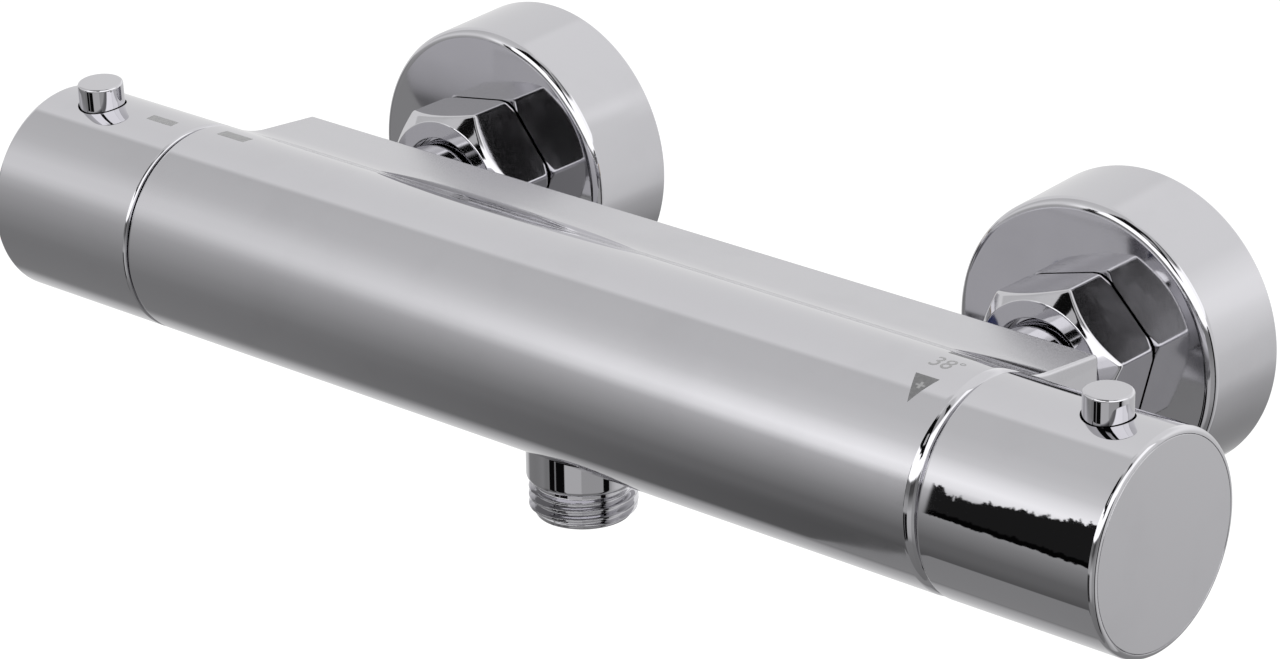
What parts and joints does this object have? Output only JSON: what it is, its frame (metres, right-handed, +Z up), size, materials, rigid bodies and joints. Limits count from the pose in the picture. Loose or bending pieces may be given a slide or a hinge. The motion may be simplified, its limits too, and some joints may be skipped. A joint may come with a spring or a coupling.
{
  "type": "thermostatic shower valve",
  "caption": "Exposed bar thermostat for a shower: round bar with a knob and push button at each end, wall unions behind, threaded hose outlet below.",
  "frame": {"origin": "on the wall plane, midway between the centres of the two half inch threads of the wall unions", "axes": "+X along the bar from the flow knob to the temperature knob, +Y into the wall, +Z up; the axis of the bar lies 80 mm before the wall and 5 mm below the origin"},
  "size_m": [0.2726, 0.114, 0.0644],
  "materials": {
    "chrome": "polished",
    "brass": "turned",
    "spring_steel": "bright",
    "cartridge_plastic": "matte",
    "knob_plastic": "matte",
    "ceramic": "lapped",
    "seal_rubber": "matte"
  },
  "bodies": {
    "valve": {"valve_body": "chrome", "outlet_nipple": "chrome", "outlet_o_ring": "seal_rubber", "inlet_tail_hot": "chrome", "inlet_tail_cold": "chrome", "inlet_seal_hot": "seal_rubber", "inlet_seal_cold": "seal_rubber", "inlet_strainer_hot": "spring_steel", "inlet_strainer_cold": "spring_steel", "check_valve_hot": "cartridge_plastic", "check_valve_cold": "cartridge_plastic", "eccentric_union_hot": "brass", "eccentric_union_cold": "brass", "rosette_hot": "chrome", "rosette_cold": "chrome", "cartridge_sleeve": "cartridge_plastic", "cartridge_o_rings": "seal_rubber", "cartridge_nut": "brass", "return_spring": "spring_steel", "temperature_stop_ring": "knob_plastic", "headwork_body": "brass", "headwork_o_rings": "seal_rubber", "headwork_seat_seal": "seal_rubber", "fixed_ceramic_disc": "ceramic", "flow_stop_ring": "knob_plastic"},
    "hot_nut": {"union_nut_hot": "chrome"},
    "cold_nut": {"union_nut_cold": "chrome"},
    "temperature_control": {"temperature_knob": "chrome", "temperature_knob_cap": "chrome", "temperature_knob_insert": "knob_plastic", "temperature_knob_screw": "spring_steel", "temperature_spindle": "brass", "temperature_spindle_o_ring": "seal_rubber", "temperature_button_spring": "spring_steel"},
    "temperature_push": {"temperature_button": "chrome"},
    "thermostat_slide": {"regulator_slide": "brass", "slide_o_ring": "seal_rubber", "wax_element": "brass", "temperature_adjuster": "cartridge_plastic", "overload_plate": "spring_steel", "overload_spring": "spring_steel"},
    "flow_control": {"flow_knob": "chrome", "flow_knob_cap": "chrome", "flow_knob_insert": "knob_plastic", "flow_knob_screw": "spring_steel", "flow_spindle": "brass", "flow_spindle_o_ring": "seal_rubber", "turning_ceramic_disc": "ceramic", "flow_button_spring": "spring_steel"},
    "flow_push": {"flow_button": "chrome"}
  },
  "joints": [
    {"name": "temperature_turn", "type": "hinge", "parent": "valve", "child": "temperature_control", "pos_m": [0.117, -0.08, -0.005], "axis": [1, 0, 0], "range_deg": [-200, 90]},
    {"name": "temperature_button_press", "type": "slide", "parent": "temperature_control", "child": "temperature_push", "axis": [0, 0, -1], "range_m": [0, 0.002], "stiffness_N_per_m": 800, "springref_m": -0.001, "deforming": ["temperature_button_spring"]},
    {"name": "thermostat_shift", "type": "slide", "parent": "valve", "child": "thermostat_slide", "axis": [1, 0, 0], "range_m": [-0.0023, 0.0011]},
    {"name": "flow_turn", "type": "hinge", "parent": "valve", "child": "flow_control", "pos_m": [-0.117, -0.08, -0.005], "axis": [-1, 0, 0], "range_deg": [0, 90]},
    {"name": "flow_button_press", "type": "slide", "parent": "flow_control", "child": "flow_push", "axis": [0, 0.061, -0.9981], "range_m": [0, 0.002], "stiffness_N_per_m": 800, "springref_m": -0.001, "deforming": ["flow_button_spring"]},
    {"name": "hot_nut_turn", "type": "hinge", "parent": "valve", "child": "hot_nut", "pos_m": [-0.075, -0.027, -0.005], "axis": [0, -1, 0], "continuous": true},
    {"name": "cold_nut_turn", "type": "hinge", "parent": "valve", "child": "cold_nut", "pos_m": [0.075, -0.027, -0.005], "axis": [0, -1, 0], "continuous": true}
  ],
  "couplings": [
    {"joint": "thermostat_shift", "follows": "temperature_turn", "m_per_rad": 0.00063662}
  ]
}
